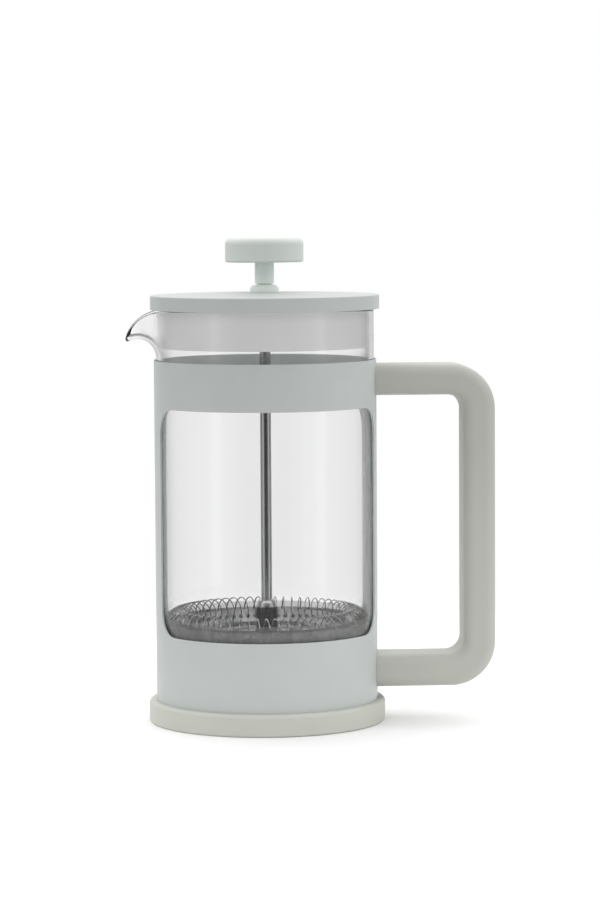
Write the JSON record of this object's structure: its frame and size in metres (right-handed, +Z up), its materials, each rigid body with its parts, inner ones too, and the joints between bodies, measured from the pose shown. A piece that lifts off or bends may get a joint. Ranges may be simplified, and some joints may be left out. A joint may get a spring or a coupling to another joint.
{
  "type": "french press",
  "caption": "French press: spouted glass beaker in a windowed painted steel sleeve with side handle, lid, and a rod plunger with a spring-edged mesh filter.",
  "frame": {"origin": "centre of the base's underside, on the beaker's axis", "axes": "+Z up along the beaker's axis, +X towards the handle, -X towards the spout"},
  "size_m": [0.165, 0.1068, 0.2176],
  "materials": {
    "clear_glass": "clear polished borosilicate",
    "mint_paint": "matte powder coat, pale mint grey",
    "offwhite_plastic": "fine matte moulding, warm off-white",
    "knob_plastic": "fine matte moulding, pale grey green",
    "grey_plastic": "satin neutral grey",
    "steel": "polished stainless",
    "spring_wire": "drawn wire",
    "woven_mesh": "fine woven wire",
    "brass": "turned"
  },
  "bodies": {
    "frame": {"sleeve": "mint_paint", "base": "offwhite_plastic", "handle": "offwhite_plastic", "handle_screw_upper": "steel", "handle_screw_lower": "steel", "handle_insert_upper": "brass", "handle_insert_lower": "brass"},
    "beaker": {"glass_beaker": "clear_glass"},
    "lid": {"lid_cap": "mint_paint", "inner_lid": "grey_plastic", "rod_bushing": "mint_paint", "lid_nut": "steel"},
    "plunger": {"knob": "knob_plastic", "knob_insert": "brass", "ferrule": "knob_plastic", "rod": "steel", "rod_hub": "steel", "spiral_plate": "steel", "coil_spring": "spring_wire", "mesh_filter": "woven_mesh", "cross_plate": "steel", "filter_nut": "steel"}
  },
  "joints": [
    {"name": "beaker_lift", "type": "slide", "parent": "frame", "child": "beaker", "axis": [0, 0, 1], "range_m": [0, 0.165]},
    {"name": "lid_lift", "type": "slide", "parent": "beaker", "child": "lid", "axis": [0, 0, 1], "range_m": [0, 0.16]},
    {"name": "plunger_slide", "type": "slide", "parent": "lid", "child": "plunger", "axis": [0, 0, 1], "range_m": [0, 0.118]}
  ]
}
